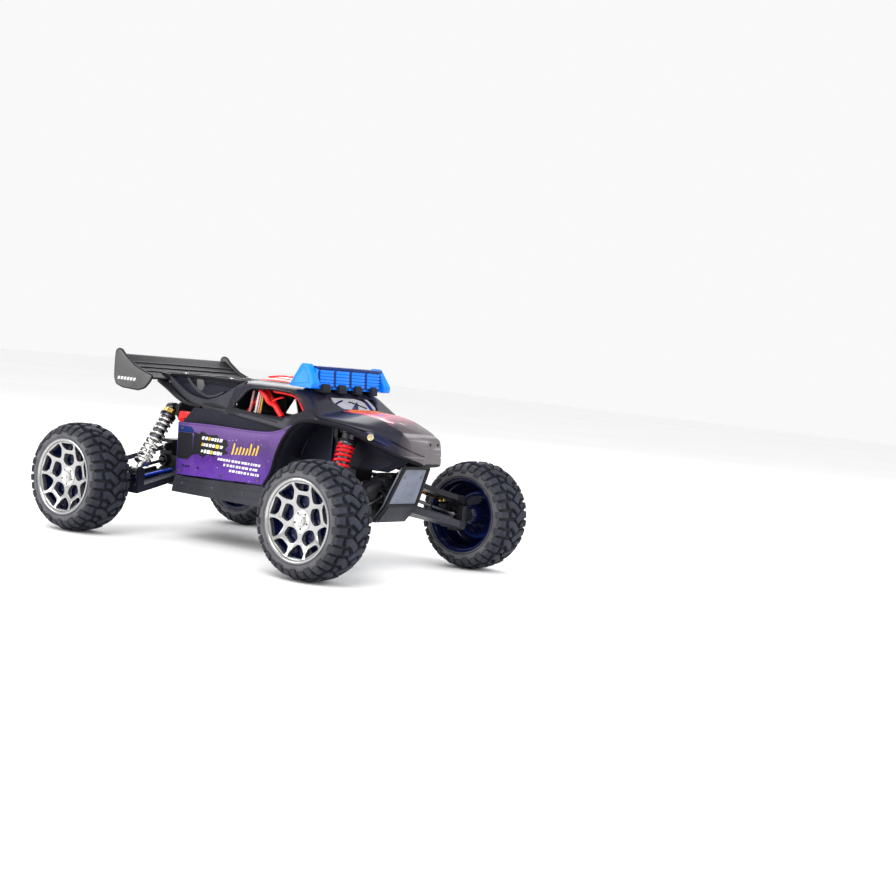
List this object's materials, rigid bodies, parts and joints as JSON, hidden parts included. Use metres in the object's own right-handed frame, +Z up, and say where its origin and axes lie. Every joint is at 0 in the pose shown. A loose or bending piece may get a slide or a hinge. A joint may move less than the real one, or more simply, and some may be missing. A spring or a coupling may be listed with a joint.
{
  "type": "remote control off-road buggy",
  "caption": "Remote control off-road buggy: sprung wishbone suspension, steered front wheels, shaft drive, lift-off body with roof light bar and rear wing.",
  "frame": {"origin": "on the ground under the middle of the car, midway between the axles", "axes": "+X forward, +Y to the car's left, +Z up"},
  "size_m": [0.402, 0.282, 0.183],
  "materials": {
    "black_moulding": "satin",
    "blue_anodised": "anodised",
    "silver_rim": "silver",
    "tyre_rubber": "matt",
    "steel": "bright",
    "dark_alloy": "dark",
    "red_spring": "gloss",
    "silver_spring": "bright",
    "charcoal_moulding": "satin",
    "grey_blue_plate": "satin",
    "carbon_plate": "satin",
    "motor_can": "satin",
    "battery_wrap": "shrink wrap",
    "controller_case": "anodised",
    "red_button": "gloss",
    "charcoal_shell": "gloss",
    "violet_panel": "gloss gradient",
    "wing_black": "gloss",
    "light_bar_blue": "gloss",
    "red_tube": "gloss"
  },
  "bodies": {
    "chassis": {"chassis_tub": "charcoal_moulding", "front_skid_plate": "grey_blue_plate", "front_gearbox": "black_moulding", "rear_gearbox": "black_moulding", "front_shock_tower": "carbon_plate", "rear_shock_tower": "carbon_plate", "motor": "motor_can", "battery_pack": "battery_wrap", "speed_controller": "controller_case", "steering_servo": "black_moulding"},
    "body_assembly": {"body_shell": "charcoal_shell", "side_panels": "violet_panel", "rear_wing": "wing_black", "light_bar": "light_bar_blue", "roll_cage": "red_tube"},
    "drive_line": {"centre_drive_shaft": "dark_alloy"},
    "motor_rotor": {"motor_pinion": "steel"},
    "switch_button": {"power_switch": "red_button"},
    "horn": {"servo_horn": "black_moulding"},
    "rack": {"steering_rack": "dark_alloy"},
    "front_left_lower_arm": {"front_left_lower_arm": "black_moulding"},
    "front_left_upper_arm": {"front_left_upper_arm": "black_moulding"},
    "front_left_hub": {"front_left_caster_block": "black_moulding"},
    "front_left_wheel": {"front_left_wheel_rim": "silver_rim", "front_left_tyre": "tyre_rubber", "front_left_wheel_axle": "steel"},
    "front_left_damper_tube": {"front_left_shock_cylinder": "dark_alloy", "front_left_shock_spring": "red_spring"},
    "front_left_damper_rod": {"front_left_shock_rod": "steel"},
    "front_left_knuckle": {"front_left_steering_knuckle": "black_moulding"},
    "front_left_tie": {"front_left_tie_rod": "steel"},
    "front_right_lower_arm": {"front_right_lower_arm": "black_moulding"},
    "front_right_upper_arm": {"front_right_upper_arm": "black_moulding"},
    "front_right_hub": {"front_right_caster_block": "black_moulding"},
    "front_right_wheel": {"front_right_wheel_rim": "silver_rim", "front_right_tyre": "tyre_rubber", "front_right_wheel_axle": "steel"},
    "front_right_damper_tube": {"front_right_shock_cylinder": "dark_alloy", "front_right_shock_spring": "red_spring"},
    "front_right_damper_rod": {"front_right_shock_rod": "steel"},
    "front_right_knuckle": {"front_right_steering_knuckle": "black_moulding"},
    "front_right_tie": {"front_right_tie_rod": "steel"},
    "rear_left_lower_arm": {"rear_left_lower_arm": "blue_anodised"},
    "rear_left_upper_arm": {"rear_left_upper_arm": "black_moulding"},
    "rear_left_hub": {"rear_left_hub_carrier": "black_moulding"},
    "rear_left_wheel": {"rear_left_wheel_rim": "silver_rim", "rear_left_tyre": "tyre_rubber", "rear_left_wheel_axle": "steel"},
    "rear_left_damper_tube": {"rear_left_shock_cylinder": "dark_alloy", "rear_left_shock_spring": "silver_spring"},
    "rear_left_damper_rod": {"rear_left_shock_rod": "steel"},
    "rear_right_lower_arm": {"rear_right_lower_arm": "blue_anodised"},
    "rear_right_upper_arm": {"rear_right_upper_arm": "black_moulding"},
    "rear_right_hub": {"rear_right_hub_carrier": "black_moulding"},
    "rear_right_wheel": {"rear_right_wheel_rim": "silver_rim", "rear_right_tyre": "tyre_rubber", "rear_right_wheel_axle": "steel"},
    "rear_right_damper_tube": {"rear_right_shock_cylinder": "dark_alloy", "rear_right_shock_spring": "silver_spring"},
    "rear_right_damper_rod": {"rear_right_shock_rod": "steel"}
  },
  "joints": [
    {"name": "body_lift_off", "type": "slide", "parent": "chassis", "child": "body_assembly", "axis": [0, 0, 1], "range_m": [0, 0.12]},
    {"name": "front_left_arm_swing", "type": "hinge", "parent": "chassis", "child": "front_left_lower_arm", "pos_m": [0.122, 0.022, 0.06], "axis": [1, 0, 0], "range_deg": [-8, 12], "stiffness_Nm_per_rad": 3, "springref_deg": -5.73},
    {"name": "front_left_upper_swing", "type": "hinge", "parent": "chassis", "child": "front_left_upper_arm", "pos_m": [0.1405, 0.022, 0.084], "axis": [1, 0, 0], "range_deg": [-8, 12]},
    {"name": "front_left_hub_tilt", "type": "hinge", "parent": "front_left_lower_arm", "child": "front_left_hub", "pos_m": [0.149, 0.084, 0.044], "axis": [1, 0, 0], "range_deg": [-12, 8]},
    {"name": "front_left_steer", "type": "hinge", "parent": "front_left_hub", "child": "front_left_knuckle", "pos_m": [0.149, 0.094, 0.052], "axis": [0, 0, 1], "range_deg": [-20, 20]},
    {"name": "front_left_tie_swing", "type": "hinge", "parent": "rack", "child": "front_left_tie", "pos_m": [0.128, 0.032, 0.0797], "axis": [1, 0, 0], "range_deg": [-8, 12]},
    {"name": "front_left_wheel_spin", "type": "hinge", "parent": "front_left_knuckle", "child": "front_left_wheel", "pos_m": [0.149, 0.118, 0.052], "axis": [0, 1, 0], "continuous": true},
    {"name": "front_left_damper_tilt", "type": "hinge", "parent": "chassis", "child": "front_left_damper_tube", "pos_m": [0.113, 0.038, 0.126], "axis": [1, 0, 0], "range_deg": [-1, 1.39]},
    {"name": "front_left_damper_stroke", "type": "slide", "parent": "front_left_damper_tube", "child": "front_left_damper_rod", "axis": [0, 0.2669, -0.9637], "range_m": [-0.00717, 0.00485], "deforming": ["front_left_shock_spring"]},
    {"name": "front_right_arm_swing", "type": "hinge", "parent": "chassis", "child": "front_right_lower_arm", "pos_m": [0.122, -0.022, 0.06], "axis": [-1, 0, 0], "range_deg": [-8, 12], "stiffness_Nm_per_rad": 3, "springref_deg": -5.73},
    {"name": "front_right_upper_swing", "type": "hinge", "parent": "chassis", "child": "front_right_upper_arm", "pos_m": [0.1405, -0.022, 0.084], "axis": [-1, 0, 0], "range_deg": [-8, 12]},
    {"name": "front_right_hub_tilt", "type": "hinge", "parent": "front_right_lower_arm", "child": "front_right_hub", "pos_m": [0.149, -0.084, 0.044], "axis": [-1, 0, 0], "range_deg": [-12, 8]},
    {"name": "front_right_steer", "type": "hinge", "parent": "front_right_hub", "child": "front_right_knuckle", "pos_m": [0.149, -0.094, 0.052], "axis": [0, 0, 1], "range_deg": [-20, 20]},
    {"name": "front_right_tie_swing", "type": "hinge", "parent": "rack", "child": "front_right_tie", "pos_m": [0.128, -0.032, 0.0797], "axis": [-1, 0, 0], "range_deg": [-8, 12]},
    {"name": "front_right_wheel_spin", "type": "hinge", "parent": "front_right_knuckle", "child": "front_right_wheel", "pos_m": [0.149, -0.118, 0.052], "axis": [0, 1, 0], "continuous": true},
    {"name": "front_right_damper_tilt", "type": "hinge", "parent": "chassis", "child": "front_right_damper_tube", "pos_m": [0.113, -0.038, 0.126], "axis": [-1, 0, 0], "range_deg": [-1, 1.39]},
    {"name": "front_right_damper_stroke", "type": "slide", "parent": "front_right_damper_tube", "child": "front_right_damper_rod", "axis": [0, -0.2669, -0.9637], "range_m": [-0.00717, 0.00485], "deforming": ["front_right_shock_spring"]},
    {"name": "rear_left_arm_swing", "type": "hinge", "parent": "chassis", "child": "rear_left_lower_arm", "pos_m": [-0.122, 0.022, 0.06], "axis": [1, 0, 0], "range_deg": [-8, 12], "stiffness_Nm_per_rad": 3, "springref_deg": -5.73},
    {"name": "rear_left_upper_swing", "type": "hinge", "parent": "chassis", "child": "rear_left_upper_arm", "pos_m": [-0.1405, 0.022, 0.084], "axis": [1, 0, 0], "range_deg": [-8, 12]},
    {"name": "rear_left_hub_tilt", "type": "hinge", "parent": "rear_left_lower_arm", "child": "rear_left_hub", "pos_m": [-0.149, 0.084, 0.044], "axis": [1, 0, 0], "range_deg": [-12, 8]},
    {"name": "rear_left_wheel_spin", "type": "hinge", "parent": "rear_left_hub", "child": "rear_left_wheel", "pos_m": [-0.149, 0.118, 0.052], "axis": [0, 1, 0], "continuous": true},
    {"name": "rear_left_damper_tilt", "type": "hinge", "parent": "chassis", "child": "rear_left_damper_tube", "pos_m": [-0.113, 0.04, 0.125], "axis": [1, 0, 0], "range_deg": [-3.28, 4.83]},
    {"name": "rear_left_damper_stroke", "type": "slide", "parent": "rear_left_damper_tube", "child": "rear_left_damper_rod", "axis": [0, 0.536, -0.8442], "range_m": [-0.01085, 0.0073], "deforming": ["rear_left_shock_spring"]},
    {"name": "rear_right_arm_swing", "type": "hinge", "parent": "chassis", "child": "rear_right_lower_arm", "pos_m": [-0.122, -0.022, 0.06], "axis": [-1, 0, 0], "range_deg": [-8, 12], "stiffness_Nm_per_rad": 3, "springref_deg": -5.73},
    {"name": "rear_right_upper_swing", "type": "hinge", "parent": "chassis", "child": "rear_right_upper_arm", "pos_m": [-0.1405, -0.022, 0.084], "axis": [-1, 0, 0], "range_deg": [-8, 12]},
    {"name": "rear_right_hub_tilt", "type": "hinge", "parent": "rear_right_lower_arm", "child": "rear_right_hub", "pos_m": [-0.149, -0.084, 0.044], "axis": [-1, 0, 0], "range_deg": [-12, 8]},
    {"name": "rear_right_wheel_spin", "type": "hinge", "parent": "rear_right_hub", "child": "rear_right_wheel", "pos_m": [-0.149, -0.118, 0.052], "axis": [0, 1, 0], "continuous": true},
    {"name": "rear_right_damper_tilt", "type": "hinge", "parent": "chassis", "child": "rear_right_damper_tube", "pos_m": [-0.113, -0.04, 0.125], "axis": [-1, 0, 0], "range_deg": [-3.28, 4.83]},
    {"name": "rear_right_damper_stroke", "type": "slide", "parent": "rear_right_damper_tube", "child": "rear_right_damper_rod", "axis": [0, -0.536, -0.8442], "range_m": [-0.01085, 0.0073], "deforming": ["rear_right_shock_spring"]},
    {"name": "rack_slide", "type": "slide", "parent": "chassis", "child": "rack", "axis": [0, 1, 0], "range_m": [-0.0075, 0.0075]},
    {"name": "horn_turn", "type": "hinge", "parent": "chassis", "child": "horn", "pos_m": [0.09, 0.02, 0.082], "axis": [0, 0, 1], "range_deg": [-12, 12]},
    {"name": "drive_shaft_spin", "type": "hinge", "parent": "chassis", "child": "drive_line", "pos_m": [0, 0, 0.067], "axis": [1, 0, 0], "continuous": true},
    {"name": "motor_spin", "type": "hinge", "parent": "chassis", "child": "motor_rotor", "pos_m": [-0.026, 0.0222, 0.067], "axis": [1, 0, 0], "continuous": true},
    {"name": "switch_slide", "type": "slide", "parent": "chassis", "child": "switch_button", "axis": [1, 0, 0], "range_m": [0, 0.003]}
  ],
  "couplings": [
    {"joint": "front_left_upper_swing", "follows": "front_left_arm_swing", "ratio": 1},
    {"joint": "front_left_hub_tilt", "follows": "front_left_arm_swing", "ratio": -1},
    {"joint": "front_left_tie_swing", "follows": "front_left_arm_swing", "ratio": 1},
    {"joint": "front_left_damper_tilt", "follows": "front_left_arm_swing", "ratio": 0.09942},
    {"joint": "front_left_damper_stroke", "follows": "front_left_arm_swing", "m_per_rad": -0.03329},
    {"joint": "front_right_upper_swing", "follows": "front_right_arm_swing", "ratio": 1},
    {"joint": "front_right_hub_tilt", "follows": "front_right_arm_swing", "ratio": -1},
    {"joint": "front_right_tie_swing", "follows": "front_right_arm_swing", "ratio": 1},
    {"joint": "front_right_damper_tilt", "follows": "front_right_arm_swing", "ratio": 0.09942},
    {"joint": "front_right_damper_stroke", "follows": "front_right_arm_swing", "m_per_rad": -0.03329},
    {"joint": "rear_left_upper_swing", "follows": "rear_left_arm_swing", "ratio": 1},
    {"joint": "rear_left_hub_tilt", "follows": "rear_left_arm_swing", "ratio": -1},
    {"joint": "rear_left_damper_tilt", "follows": "rear_left_arm_swing", "ratio": 0.38552},
    {"joint": "rear_left_damper_stroke", "follows": "rear_left_arm_swing", "m_per_rad": -0.05085},
    {"joint": "rear_right_upper_swing", "follows": "rear_right_arm_swing", "ratio": 1},
    {"joint": "rear_right_hub_tilt", "follows": "rear_right_arm_swing", "ratio": -1},
    {"joint": "rear_right_damper_tilt", "follows": "rear_right_arm_swing", "ratio": 0.38552},
    {"joint": "rear_right_damper_stroke", "follows": "rear_right_arm_swing", "m_per_rad": -0.05085},
    {"joint": "front_right_steer", "follows": "front_left_steer", "ratio": 1},
    {"joint": "rack_slide", "follows": "front_left_steer", "m_per_rad": -0.021},
    {"joint": "horn_turn", "follows": "front_left_steer", "ratio": -0.55263},
    {"joint": "rear_right_wheel_spin", "follows": "rear_left_wheel_spin", "ratio": 1},
    {"joint": "front_left_wheel_spin", "follows": "rear_left_wheel_spin", "ratio": 1},
    {"joint": "front_right_wheel_spin", "follows": "rear_left_wheel_spin", "ratio": 1},
    {"joint": "drive_shaft_spin", "follows": "rear_left_wheel_spin", "ratio": 2.5},
    {"joint": "motor_spin", "follows": "rear_left_wheel_spin", "ratio": -6.75}
  ]
}
